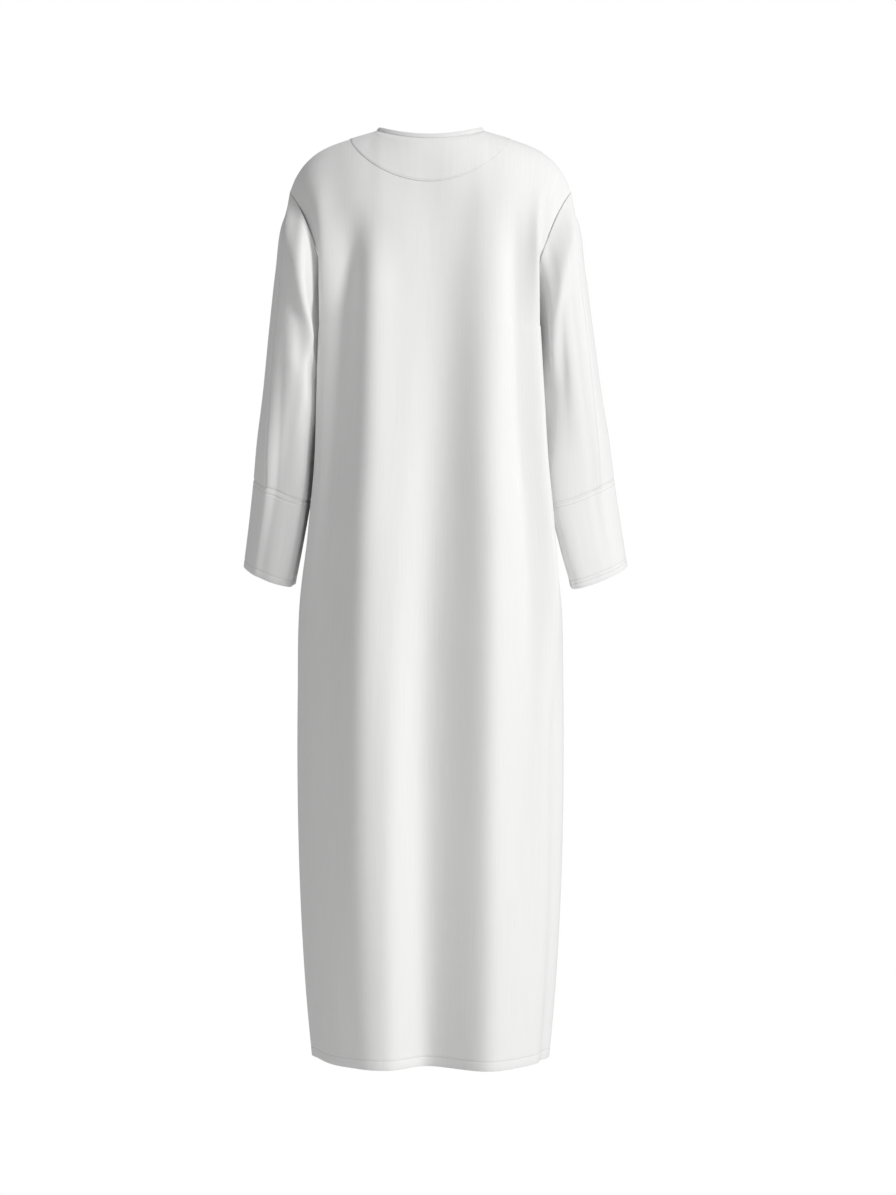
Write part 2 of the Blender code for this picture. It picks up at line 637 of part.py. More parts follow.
def half_sleeve(name):
    """The front or back half of a sleeve, sewn all round."""
    return sewn_piece(name, [(side, slice(None)) for side in GRID_EDGES])


def cuff(side):
    """The deep cuff panel, a closed ring from the cuff seam to its hem."""
    halves = [ARM_FORMS[side, face][SLEEVE_ROWS:] for face in FACES]
    points = np.concatenate([halves[0], halves[1][:, 1:]], axis=1)
    points[0] += SEAM_GAP / 2 * unit(points[1] - points[0])
    return laid_piece(side + "_cuff", points, WALL, closed=True)


for old in list(bpy.data.objects):
    bpy.data.objects.remove(old, do_unlink=True)
abaya = bpy.data.collections.new("abaya")
cutters = bpy.data.collections.new("cutters")
bpy.context.scene.collection.children.link(abaya)
bpy.context.scene.collection.children.link(cutters)

PANELS = {face: panel_form(face) for face in FACES}
PIECES = {}
for panel_face in FACES:
    PIECES[f"upper_{panel_face}_panel"] = PANELS[panel_face][: JOIN_ROW + 1]
    PIECES[f"lower_{panel_face}_panel"] = PANELS[panel_face][JOIN_ROW:]
ARM_FORMS = {}
for arm_side in SIDES:
    for arm_face in FACES:
        half_arm = arm_form(arm_side, arm_face)
        ARM_FORMS[arm_side, arm_face] = half_arm
        PIECES[f"{arm_side}_{arm_face}_sleeve"] = half_arm[: SLEEVE_ROWS + 1]
THROUGH = mitres(PIECES)

for panel_face in FACES:
    body_panel(panel_face)
half_moon_yoke()
neck_band()
for arm_side in SIDES:
    for arm_face in FACES:
        half_sleeve(f"{arm_side}_{arm_face}_sleeve")
    cuff(arm_side)
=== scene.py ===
from collections import namedtuple

import bmesh
import bpy
import numpy as np
from mathutils import Matrix, Vector


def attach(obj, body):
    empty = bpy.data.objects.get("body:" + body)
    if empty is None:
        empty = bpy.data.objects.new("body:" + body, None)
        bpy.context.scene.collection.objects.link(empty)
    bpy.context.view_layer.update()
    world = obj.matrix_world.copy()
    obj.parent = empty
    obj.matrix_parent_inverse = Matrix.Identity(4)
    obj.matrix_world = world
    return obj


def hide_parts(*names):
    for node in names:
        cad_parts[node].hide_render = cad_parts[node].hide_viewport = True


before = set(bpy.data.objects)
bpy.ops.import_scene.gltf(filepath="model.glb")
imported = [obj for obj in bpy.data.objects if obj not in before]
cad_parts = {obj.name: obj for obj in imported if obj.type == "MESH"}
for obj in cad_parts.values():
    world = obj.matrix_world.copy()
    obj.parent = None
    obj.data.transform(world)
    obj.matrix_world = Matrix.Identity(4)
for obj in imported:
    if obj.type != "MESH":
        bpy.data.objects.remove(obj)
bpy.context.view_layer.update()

# Camera at the photograph's place, behind the abaya and level with its middle
PIXEL = 0.0015
IMAGE_HEIGHT = 1195
CAMERA_PLACE = (-0.02625, 3.6, -0.7035)
camera_data = bpy.data.cameras.new("camera")
camera_data.sensor_fit = "AUTO"
camera_data.sensor_width = 36.0
half_view = IMAGE_HEIGHT * PIXEL / 2 / CAMERA_PLACE[1]
camera_data.lens = camera_data.sensor_width / 2 / half_view
camera = bpy.data.objects.new("camera", camera_data)
camera.location = CAMERA_PLACE
camera.rotation_euler = (np.pi / 2, 0.0, np.pi)
bpy.context.scene.collection.objects.link(camera)
bpy.context.scene.camera = camera
bpy.context.scene.view_settings.view_transform = "Standard"

FACES = ("back", "front")
SIDES = ("left", "right")

# Sizes of the cloth
LENGTH = 1.387
WALL = 0.0007
HALF_MOON_WALL = 0.0003
BAND_WALL = 0.0004
NECK_TOLERANCE = 0.00016
UNDERARM_Z = -0.300
TURNED_HEM = 0.0145
HEM_GAP = 2.2 * WALL
HEM_STITCH = 0.013
CUFF_HEM_STITCHES = {"left": (0.010,), "right": (0.0075, 0.013)}
CUFF_SEAM_STITCHES = (0.0022, 0.0078)
OVERARM_STITCH = 0.0024
BAND_HEIGHT = 0.008
BAND_PUFF = 0.0007
BAND_DEPTH = 0.0012
BAND_STAND_CENTRE = 0.30
BAND_STAND_SIDE = 1.50
BAND_EASINGS = 6
YOKE_HALF_WIDTH = 0.119
YOKE_TOP_Z = -0.0195
YOKE_DROP = 0.0735
YOKE_CURVE = 0.70
NECK_SHARE = 0.42
FOLD_RUN_IN = 0.12
SLEEVE_SEAM_FADE = 0.20
CREASE_SWELL = 1.5
CURVE_STEPS = 240
SEAM_FADE = 0.15
TOP_FADE = 0.22
ARMHOLE_POINTS = 12

# Lengths that count as nothing
TINY = 1e-9
MERGE_DISTANCE = 1e-5

# Floor, key light and soft surround
FLOOR_Z = -1.53
FLOOR_RADIUS = 9.0
KEY_PLACE = (-7.86, 6.36, 5.80)
KEY_TARGET = (0.0, 0.0, -0.66)
KEY_SIZE = 2.8
KEY_POWER = 960.0
SURROUND = 0.345

# Mesh density, with closer lines near a seam at these distances
NECK_COLUMNS = 26
SHOULDER_COLUMNS = 36
UPPER_ROWS = 66
SKIRT_ROWS = 190
SLEEVE_COLUMNS = 44
SLEEVE_ROWS = 88
CUFF_ROWS = 30
NEAR_SEAM = (0.0008, 0.0018, 0.0034, 0.0058)
BESIDE_STITCH = (-0.0030, -0.0016, -0.0008, 0.0, 0.0008, 0.0016, 0.0030)
HALF_MOON_COLUMNS = 110
HALF_MOON_ROWS = 26
HALF_MOON_CLOSER = 1.3
PLACE_DIGITS = 7

# Lengths of cloth, roughly, that the distances near a seam are shares of
SHOULDER_RUN = 0.14
UPPER_RUN = 0.20
SLEEVE_HALF_RUN = 0.20

# The turned hem, in shares of its gap below the edge and inside it, then up the inside
HemTurn = namedtuple("HemTurn", "below inside")
HEM_TURNS = (HemTurn(0.3, 0.12), HemTurn(0.5, 0.5), HemTurn(0.3, 0.88), HemTurn(0.0, 1.0))
HEM_INSIDE = (0.35, 0.70, 1.00)

# How far the cloth sinks along a line beside one of its edges
Sink = namedtuple("Sink", "edge distance depth width")
SEAM_DEPTH = 0.0009
SEAM_WIDTH = 0.0022
STITCH_DEPTH = 0.00045
STITCH_WIDTH = 0.0012

# The darkest slubs, as a share of the cloth's own colour
SLUB_SHADE = 0.955

# Stitches of thread
STITCH_PITCH = 0.0030
STITCH_LENGTH = 0.0023
THREAD_WIDTH = 0.00055
THREAD_HEIGHT = 0.00040

# The half-moon's lift off the back and the turned edge: distance from the edge, lift
HALF_MOON_LIFT = 0.00085
HALF_MOON_TOP_LIFT = 0.3
HALF_MOON_TAPER = 0.008
HALF_MOON_NEAR = 0.006
HALF_MOON_STITCH = 0.0022
HALF_MOON_EASINGS = 12
HALF_MOON_NORMAL_ROWS = 3
TurnedEdge = namedtuple("TurnedEdge", "distance lift")
HALF_MOON_EDGE = (
    TurnedEdge(0.0060, 1.00),
    TurnedEdge(0.0044, 1.00),
    TurnedEdge(0.0034, 0.96),
    TurnedEdge(0.0028, 0.85),
    TurnedEdge(0.0022, 0.76),
    TurnedEdge(0.0016, 0.86),
    TurnedEdge(0.0010, 0.98),
    TurnedEdge(0.0005, 0.96),
    TurnedEdge(0.0001, 0.84),
    TurnedEdge(0.0000, 0.62),
    TurnedEdge(0.0003, 0.42),
    TurnedEdge(0.0016, 0.36),
    TurnedEdge(0.0050, 0.36),
)

# The neck band from its top down: its face as shares of its height and puff, and its inside
BandRow = namedtuple("BandRow", "rise puff")
BAND_FACE = (
    BandRow(1.00, 0.00),
    BandRow(0.97, 0.35),
    BandRow(0.88, 0.75),
    BandRow(0.70, 1.00),
    BandRow(0.45, 1.00),
    BandRow(0.22, 0.90),
    BandRow(0.08, 0.50),
    BandRow(0.00, -0.40),
)
BAND_INSIDE = (0.97, 0.50, 0.00)

# The body below the underarm: a rounded girth at each height. A corner of 2 is an
# ellipse and more is squarer.
Girth = namedtuple("Girth", "z half_width back_depth front_depth back_corner front_corner")
GIRTHS = (
    Girth(-0.300, 0.153, 0.098, 0.128, 3.6, 2.7),
    Girth(-0.400, 0.157, 0.099, 0.128, 3.5, 2.7),
    Girth(-0.500, 0.165, 0.102, 0.125, 3.2, 2.6),
    Girth(-0.600, 0.181, 0.107, 0.125, 2.9, 2.5),
    Girth(-0.700, 0.195, 0.112, 0.127, 2.7, 2.4),
    Girth(-0.850, 0.199, 0.118, 0.130, 2.6, 2.4),
    Girth(-1.000, 0.199, 0.122, 0.133, 2.5, 2.4),
    Girth(-1.150, 0.195, 0.128, 0.136, 2.5, 2.4),
    Girth(-1.300, 0.186, 0.133, 0.140, 2.5, 2.4),
    Girth(-LENGTH, 0.178, 0.135, 0.142, 2.5, 2.4),
)

# The shoulder seam, from the neck seam out to the armhole
SeamPoint = namedtuple("SeamPoint", "x y z")
SHOULDER_SEAM = (
    SeamPoint(0.082, -0.006, -0.0050),
    SeamPoint(0.100, -0.007, -0.0105),
    SeamPoint(0.123, -0.008, -0.0170),
    SeamPoint(0.148, -0.008, -0.0248),
    SeamPoint(0.168, -0.008, -0.0345),
    SeamPoint(0.189, -0.007, -0.0525),
    SeamPoint(0.203, -0.006, -0.0725),
    SeamPoint(0.212, -0.006, -0.0945),
)

# How far and how soon columns are eased into each other below the top edge
EASE_WIDTH = 0.13
EASE_LEVEL = 0.15
EASE_END = 6
EASE_STEPS = 15

# The neck seam below the band, and the powers that round it off
NECK_BACK = SeamPoint(0.0, 0.0640, -0.0265)
NECK_SIDE = SHOULDER_SEAM[0]
NECK_FRONT = SeamPoint(0.0, -0.1080, -0.1350)
NeckRound = namedtuple("NeckRound", "x y z")
NECK_ROUND = {"back": NeckRound(1.0, 0.85, 1.5), "front": NeckRound(1.15, 0.85, 1.2)}

# How the cloth leaves the top edge (pull) and arrives at the underarm level (rise)
Drape = namedtuple("Drape", "share pull_x pull_y pull_z rise_x rise_y rise_z")
BACK_DRAPE = (
    Drape(0.00, 0.000, 0.024, -0.042, 0.000, -0.001, 0.110),
    Drape(0.25, 0.001, 0.050, -0.026, -0.001, -0.001, 0.140),
    Drape(0.42, 0.002, 0.085, -0.003, -0.003, 0.000, 0.170),
    Drape(0.70, 0.000, 0.068, -0.006, 0.004, 0.012, 0.150),
    Drape(0.86, -0.008, 0.062, -0.014, 0.002, 0.045, 0.115),
    Drape(1.00, -0.024, 0.056, -0.034, -0.003, 0.088, 0.090),
)
FRONT_DRAPE = (
    Drape(0.00, 0.000, -0.012, -0.050, 0.000, 0.000, 0.050),
    Drape(0.16, 0.000, -0.014, -0.050, 0.000, 0.000, 0.060),
    Drape(0.30, 0.001, -0.034, -0.036, -0.001, 0.000, 0.100),
    Drape(0.42, 0.002, -0.078, -0.004, -0.003, -0.001, 0.160),
    Drape(0.70, 0.000, -0.066, -0.008, 0.004, -0.011, 0.145),
    Drape(0.86, -0.008, -0.058, -0.016, 0.002, -0.040, 0.110),
    Drape(1.00, -0.022, -0.052, -0.032, -0.003, -0.078, 0.085),
)

# Folds of the body, across as a share of the half girth (left is positive). A depth
# above nought stands out and one below it sinks in.
Fold = namedtuple(
    "Fold",
    "name share_top share_low width_top width_low depth_top depth_middle depth_low z_top z_low",
)
BACK_FOLDS = (
    Fold("centre valley", -0.026, 0.034, 0.156, 0.256, -0.0043, -0.0134, -0.0548, -0.054, -1.523),
    Fold("left lobe", 0.399, 0.313, 0.143, 0.146, 0.0117, 0.0257, 0.0160, -0.142, -1.277),
    Fold("right lobe", -0.394, -0.310, 0.205, 0.110, -0.0022, 0.0287, 0.0116, -0.109, -1.250),
    Fold("left trough", 0.524, 0.720, 0.086, 0.211, -0.0174, -0.0100, -0.0080, -0.111, -0.850),
    Fold("left fold edge", 0.751, 0.829, 0.110, 0.110, 0.0022, 0.0162, -0.0019, -0.016, -0.721),
    Fold("right trough", -0.582, -0.581, 0.072, 0.097, -0.0074, -0.0114, -0.0025, -0.094, -0.983),
    Fold("right fold edge", -0.747, -0.776, 0.052, 0.070, 0.0066, 0.0177, -0.0063, -0.072, -0.892),
    Fold("left hip", 0.521, 0.420, 0.220, 0.119, -0.0072, 0.0006, -0.0057, -0.584, -1.379),
    Fold("right hip", -0.479, -0.423, 0.106, 0.157, -0.0053, -0.0046, 0.0057, -0.578, -1.252),
    Fold("left blade", 0.122, 0.188, 0.169, 0.090, -0.0066, 0.0078, 0.0155, -0.010, -0.944),
    Fold("right blade", -0.194, -0.171, 0.152, 0.156, -0.0057, -0.0049, 0.0074, -0.041, -0.763),
)
FRONT_FOLDS = (
    Fold("centre valley", 0.060, -0.020, 0.160, 0.250, -0.0010, -0.0120, -0.0420, -0.240, -1.500),
    Fold("left lobe", 0.400, 0.310, 0.160, 0.140, 0.0040, 0.0160, 0.0140, -0.210, -1.300),
    Fold("right lobe", -0.370, -0.300, 0.180, 0.130, 0.0030, 0.0180, 0.0120, -0.190, -1.280),
    Fold("left trough", 0.560, 0.660, 0.090, 0.150, -0.0080, -0.0080, -0.0050, -0.170, -1.000),
    Fold("left fold edge", 0.780, 0.820, 0.100, 0.100, 0.0040, 0.0120, 0.0000, -0.120, -0.800),
    Fold("right trough", -0.600, -0.640, 0.110, 0.100, -0.0070, -0.0100, -0.0030, -0.160, -1.050),
    Fold("right fold edge", -0.760, -0.800, 0.090, 0.090, 0.0040, 0.0100, 0.0000, -0.120, -0.850),
    Fold("left hip", 0.520, 0.460, 0.150, 0.140, -0.0030, 0.0050, 0.0000, -0.600, -1.350),
    Fold("right hip", -0.500, -0.450, 0.120, 0.170, -0.0040, -0.0030, 0.0040, -0.560, -1.300),
)

# Rings of the sleeve below the armhole loop, for the wearer's left side. The tilt
# turns the outer side up, the pitch lifts the front, and the seam angle is where the
# overarm seam lies.
Ring = namedtuple("Ring", "name x y z half_span tilt pitch half_depth seam_angle")
SLEEVE_RINGS = (
    Ring("cap", 0.1903, 0.000, -0.2290, 0.0912, 69.4, 0.0, 0.068, 30.0),
    Ring("upper arm", 0.1965, -0.001, -0.2850, 0.0790, 63.0, 1.0, 0.072, 41.0),
    Ring("mid arm", 0.2050, -0.004, -0.3480, 0.0590, 50.0, 3.0, 0.073, 43.0),
    Ring("elbow", 0.2125, -0.010, -0.4250, 0.0510, 36.0, 5.0, 0.070, 47.0),
    Ring("forearm", 0.2205, -0.020, -0.4930, 0.0490, 24.0, 7.0, 0.066, 54.0),
    Ring("cuff seam", 0.2260, -0.028, -0.5400, 0.0478, 20.0, 8.0, 0.063, 60.0),
)
CUFF_RINGS = (
    Ring("cuff middle", 0.2360, -0.038, -0.6030, 0.0460, 20.0, 9.0, 0.062, 60.0),
    Ring("cuff hem", 0.2475, -0.048, -0.6680, 0.0440, 19.0, 9.5, 0.061, 60.0),
)
Arm = namedtuple("Arm", "swing spread")
ARMS = {"left": Arm(-0.003, 0.95), "right": Arm(0.0075, 1.05)}
ARM_CHANGE = (-0.30, -0.67)

# Creases of the sleeves. The angle is 0 outside, 90 in front, 180 inside, 270 behind,
# and along runs from 0 at the armhole to 1 at the cuff seam and on over the cuff.
Crease = namedtuple("Crease", "name side angle_top angle_low width depth along_top along_low")
SLEEVE_CREASES = (
    Crease("body dent", "left", 228.0, 216.0, 26.0, -0.011, -0.15, 0.60),
    Crease("shoulder tuck", "left", 319.7, 218.0, 17.0, 0.0085, -0.08, 0.40),
    Crease("armhole tuck", "left", 294.7, 236.0, 30.0, 0.0065, -0.09, 0.42),
    Crease("upper outer line", "left", 307.9, 232.1, 22.3, -0.0023, 0.07, 0.53),
    Crease("upper fold", "left", 240.0, 240.0, 11.0, 0.0070, -0.02, 0.75),
    Crease("upper hollow", "left", 252.9, 266.5, 22.6, -0.0051, 0.47, 1.03),
    Crease("elbow fold", "left", 294.1, 275.5, 31.5, -0.0060, 0.26, 1.29),
    Crease("cuff fold", "left", 230.0, 229.6, 16.4, 0.0108, 0.46, 1.81),
    Crease("outer cuff fold", "left", 232.0, 262.0, 20.0, 0.0060, 0.62, 1.90),
    Crease("cuff hollow", "left", 313.7, 300.0, 24.0, -0.0060, 0.45, 1.75),
    Crease("front drag line", "left", 70.0, 125.0, 24.0, -0.007, 0.05, 0.45),
    Crease("inner corner", "left", 208.0, 213.0, 18.0, 0.0080, -0.10, 0.85),
    Crease("upper outer line", "right", 278.9, 218.2, 11.9, 0.0045, 0.04, 0.60),
    Crease("armhole fold", "right", 259.5, 226.8, 14.0, 0.0080, -0.24, 0.70),
    Crease("shoulder hollow", "right", 302.9, 267.1, 23.5, -0.0051, -0.07, 0.98),
    Crease("upper fold", "right", 246.9, 226.3, 12.0, 0.0050, -0.04, 1.20),
    Crease("long fold", "right", 240.5, 232.6, 21.9, 0.0109, 0.47, 1.40),
    Crease("elbow line", "right", 314.7, 297.2, 21.9, -0.0053, 0.25, 1.43),
    Crease("cuff fold", "right", 217.8, 251.9, 16.1, 0.0110, 0.48, 2.02),
    Crease("broad cuff fold", "right", 233.4, 238.8, 33.2, 0.0109, 0.72, 1.89),
    Crease("front drag line", "right", 75.0, 130.0, 24.0, -0.007, 0.05, 0.42),
    Crease("tucked side", "right", 240.0, 236.0, 24.0, -0.0110, -0.10, 0.95),
    Crease("inner corner", "right", 205.0, 213.0, 19.0, 0.0150, -0.05, 1.15),
)


def column(table, name):
    """One named column of a table."""
    return np.array([getattr(row, name) for row in table], float)


def smooth(places, values, wanted):
    """A smooth curve through the values at their places, read at the wanted ones."""
    places = np.asarray(places, float)
    values = np.asarray(values, float)
    if places[0] > places[-1]:
        places, values = places[::-1], values[::-1]
    slopes = np.gradient(values, places, axis=0)
    wanted = np.clip(wanted, places[0], places[-1])
    left = np.clip(np.searchsorted(places, wanted) - 1, 0, len(places) - 2)
    span = places[left + 1] - places[left]
    t = (wanted - places[left]) / span
    spread = np.shape(wanted) + (1,) * (values.ndim - 1)
    t, span = np.reshape(t, spread), np.reshape(span, spread)
    return (
        (2 * t**3 - 3 * t**2 + 1) * values[left]
        + (t**3 - 2 * t**2 + t) * span * slopes[left]
        + (3 * t**2 - 2 * t**3) * values[left + 1]
        + (t**3 - t**2) * span * slopes[left + 1]
    )


def ramp(values, start, end):
    """Rises smoothly from 0 at the start to 1 at the end."""
    t = np.clip((values - start) / (end - start), 0.0, 1.0)
    return t * t * (3.0 - 2.0 * t)


def lengths_along(points):
    """Distance of each point of a line from its first one."""
    steps = np.linalg.norm(np.diff(points, axis=0), axis=1)
    return np.concatenate(([0.0], np.cumsum(steps)))


def along_curve(points, shares):
    """Points at the given shares of a curve's length."""
    length = lengths_along(points)
    return np.stack(
        [np.interp(shares * length[-1], length, points[:, axis]) for axis in range(3)],
        axis=-1,
    )


def unit(vectors):
    """The vectors at length one."""
    return vectors / np.maximum(np.linalg.norm(vectors, axis=-1, keepdims=True), TINY)


def closer_at_ends(count, start_length, end_length, lines=(), length=1.0):
    """Even places from 0 to 1, closer near an end that is a seam and at stitch lines."""
    places = list(np.linspace(0.0, 1.0, count + 1))
    if start_length:
        places += [distance / start_length for distance in NEAR_SEAM]
    if end_length:
        places += [1.0 - distance / end_length for distance in NEAR_SEAM]
    places += [(line + step) / length for line in lines for step in BESIDE_STITCH]
    return np.unique(np.round(places, PLACE_DIGITS))


def girth_points(face, shares, z):
    """Points of one half girth at a height, at shares of its length from the centre."""
    half_width = smooth(column(GIRTHS, "z"), column(GIRTHS, "half_width"), z)
    depth = smooth(column(GIRTHS, "z"), column(GIRTHS, face + "_depth"), z)
    corner = smooth(column(GIRTHS, "z"), column(GIRTHS, face + "_corner"), z)
    turn = np.linspace(0.0, np.pi / 2, 2 * CURVE_STEPS + 1)
    power = 2.0 / corner
    back = 1.0 if face == "back" else -1.0
    curve = np.stack(
        [
            half_width * np.sin(turn) ** power,
            back * depth * np.clip(np.cos(turn), 0.0, 1.0) ** power,
            np.full_like(turn, z),
        ],
        axis=-1,
    )
    return along_curve(curve, shares)


def neck_curve(face, turns):
    """The neck seam from the centre (turn 0) to the neck point (turn 1)."""
    centre = NECK_BACK if face == "back" else NECK_FRONT
    rounded = NECK_ROUND[face]
    sine = np.sin(turns * np.pi / 2)
    cosine = np.clip(np.cos(turns * np.pi / 2), 0.0, 1.0)
    x = NECK_SIDE.x * sine**rounded.x
    y = NECK_SIDE.y + (centre.y - NECK_SIDE.y) * cosine**rounded.y
    z = NECK_SIDE.z + (centre.z - NECK_SIDE.z) * cosine**rounded.z
    return np.stack([x, y, z], axis=-1)


def top_edge(face, shares):
    """Neck seam and shoulder seam as one curve, at shares of the half width."""
    dense = np.linspace(0.0, 1.0, CURVE_STEPS + 1)
    neck = along_curve(neck_curve(face, dense), np.clip(shares / NECK_SHARE, 0.0, 1.0))
    seam = np.array(SHOULDER_SEAM)
    length = lengths_along(seam)
    outer = np.clip((shares - NECK_SHARE) / (1.0 - NECK_SHARE), 0.0, 1.0)
    shoulder = smooth(length, seam, outer * length[-1])
    return np.where((shares < NECK_SHARE)[..., None], neck, shoulder)


def upper_points(face, shares, levels):
    """Cloth from the top edge (level 0) to the underarm level (level 1), one half."""
    table = BACK_DRAPE if face == "back" else FRONT_DRAPE
    places = column(table, "share")
    pull = np.stack(
        [smooth(places, column(table, "pull_" + axis), shares) for axis in "xyz"], axis=-1
    )
    rise = np.stack(
        [smooth(places, column(table, "rise_" + axis), shares) for axis in "xyz"], axis=-1
    )
    start = top_edge(face, shares)
    end = girth_points(face, shares, UNDERARM_Z)
    t = levels[:, None, None]
    return (
        (1 - t) ** 3 * start
        + 3 * (1 - t) ** 2 * t * (start + pull)
        + 3 * (1 - t) * t**2 * (end + rise)
        + t**3 * end
    )


def eased_points(face, shares, levels):
    """The upper cloth with its columns eased into each other below the top edge."""
    width = EASE_WIDTH * ramp(levels, 0.0, EASE_LEVEL)[:, None] * (1.0 - shares**EASE_END)
    offsets = np.linspace(-1.0, 1.0, EASE_STEPS)
    weights = 1.0 + np.cos(np.pi * offsets)
    eased = 0.0
    for offset, weight in zip(offsets, weights / weights.sum()):
        moved = shares + offset * width
        points = upper_points(face, np.minimum(np.abs(moved), 1.0), levels)
        points[..., 0] *= np.where(moved < 0.0, -1.0, 1.0)
        eased = eased + weight * points
    return eased


def half_form(face, shares, levels, heights):
    """The smooth cloth of one half (x above nought) down to the hem."""
    upper = eased_points(face, shares, levels)
    skirt = np.stack([girth_points(face, shares, z) for z in heights])
    return np.concatenate([upper, skirt])


def grid_normals(points):
    """Unit normals of a grid whose columns run clockwise seen from above."""
    across = np.gradient(points, axis=1)
    down = np.gradient(points, axis=0)
    return unit(np.cross(across, down))


def fold_depth(fold, shares, z):
    """How far a fold moves the cloth at each share and height."""
    run = np.clip((fold.z_top - z) / (fold.z_top - fold.z_low), 0.0, 1.0)
    centre = fold.share_top + (fold.share_low - fold.share_top) * run
    width = fold.width_top + (fold.width_low - fold.width_top) * run
    depth = smooth((0.0, 0.5, 1.0), (fold.depth_top, fold.depth_middle, fold.depth_low), run)
    inside = ramp(-z, -fold.z_top, -fold.z_top + FOLD_RUN_IN)
    return depth * inside * np.exp(-(((shares - centre) / width) ** 2))


def from_edge(points, edge):
    """Distance over the cloth of each grid point from one edge of the grid."""
    axis = 0 if edge in ("top", "bottom") else 1
    steps = np.linalg.norm(np.diff(points, axis=axis), axis=-1)
    first = np.zeros_like(steps.take([0], axis))
    length = np.concatenate([first, np.cumsum(steps, axis)], axis)
    return length if edge in ("top", "start") else length.take([-1], axis) - length


def seams(*edges):
    """The sinks along sewn edges."""
    return [Sink(edge, 0.0, SEAM_DEPTH, SEAM_WIDTH) for edge in edges]


def stitched(edge, *distances):
    """The sinks along rows of stitches beside an edge."""
    return [Sink(edge, distance, STITCH_DEPTH, STITCH_WIDTH) for distance in distances]


def sunk(points, sinks):
    """A grid with its cloth sunk along its seams and stitch lines."""
    depth = np.zeros(points.shape[:2])
    for sink in sinks:
        away = from_edge(points, sink.edge) - sink.distance
        depth = np.maximum(depth, sink.depth * np.exp(-((away / sink.width) ** 2)))
    return points - depth[..., None] * grid_normals(points)


def panel_places():
    """The shares, levels and heights of a panel's grid lines, for one half."""
    neck = np.linspace(0.0, NECK_SHARE, NECK_COLUMNS + 1)
    shoulder = NECK_SHARE + (1 - NECK_SHARE) * closer_at_ends(SHOULDER_COLUMNS, None, SHOULDER_RUN)
    levels = closer_at_ends(UPPER_ROWS, UPPER_RUN, None)
    skirt = LENGTH + UNDERARM_Z
    places = closer_at_ends(SKIRT_ROWS, None, None, lines=(skirt - HEM_STITCH,), length=skirt)
    return np.concatenate([neck, shoulder[1:]]), levels, UNDERARM_Z - skirt * places[1:]


def panel_form(face):
    """Front or back, with its folds, columns clockwise seen from above."""
    half, levels, heights = panel_places()
    left = half_form(face, half, levels, heights)
    right = left[:, :0:-1] * np.array((-1.0, 1.0, 1.0))
    points = np.concatenate([right, left], axis=1)
    shares = np.concatenate([-half[:0:-1], half])
    if face == "front":
        points, shares = points[:, ::-1], shares[::-1]
    folds = BACK_FOLDS if face == "back" else FRONT_FOLDS
    depth = sum(fold_depth(fold, shares[None, :], points[..., 2]) for fold in folds)
    depth = depth * (1.0 - ramp(np.abs(shares), 1.0 - SEAM_FADE, 1.0))
    depth[: len(levels)] *= ramp(levels, 0.0, TOP_FADE)[:, None]
    return points + depth[..., None] * grid_normals(points)


def turn_hem(points, depth):
    """Adds a turned hem under the last row: round the edge and up inside."""
    normal = grid_normals(points)[-1]
    edge, down = points[-1], unit(points[-1] - points[-2])
    turned = [
        edge + down * HEM_GAP * turn.below - normal * HEM_GAP * turn.inside for turn in HEM_TURNS
    ]
    turned += [edge - down * depth * share - normal * HEM_GAP for share in HEM_INSIDE]
    return np.concatenate([points, np.array(turned)])


def grid_uv(points):
    """Across and down in metres for each point of a grid, measured along its middle."""
    rows, columns = points.shape[:2]
    across = lengths_along(points[rows // 2])
    down = lengths_along(points[:, columns // 2])
    return np.stack(np.broadcast_arrays(across[None, :], -down[:, None]), axis=-1)


def cloth_mesh(name, points, closed=False):
    """A mesh from a grid of points, with its UV map in metres."""
    rows, columns = points.shape[:2]
    uv = grid_uv(points)
    shape = bmesh.new()
    bmesh.ops.create_grid(shape, x_segments=columns - 1, y_segments=rows - 1, size=1.0)
    layer = shape.loops.layers.uv.new("UVMap")
    places = {}
    for vert in shape.verts:
        across = round((vert.co.x + 1.0) / 2.0 * (columns - 1))
        down = round((vert.co.y + 1.0) / 2.0 * (rows - 1))
        places[vert] = (down, across)
        vert.co = points[down, across]
    for face in shape.faces:
        for loop in face.loops:
            loop[layer].uv = uv[places[loop.vert]]
    if closed:
        bmesh.ops.remove_doubles(shape, verts=shape.verts, dist=MERGE_DISTANCE)
    mesh = bpy.data.meshes.new(name)
    shape.to_mesh(mesh)
    shape.free()
    mesh.shade_smooth()
    return mesh


def cloth_object(name, mesh, material, nodes, wall=WALL):
    """A cloth piece that replaces its nodes and rides on the one body."""
    mesh.materials.append(material)
    piece = bpy.data.objects.new(name, mesh)
    bpy.context.scene.collection.objects.link(piece)
    solid = piece.modifiers.new("Wall", "SOLIDIFY")
    solid.thickness = wall
    solid.offset = -1.0
    solid.use_even_offset = False
    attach(piece, "root")
    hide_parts(*nodes)
    return piece


def add_node(tree, kind, place, **values):
    """A shader node with its inputs set by name."""
    node = tree.nodes.new(kind)
    node.location = place
    for name, value in values.items():
        node.inputs[name.replace("_", " ")].default_value = value
    return node


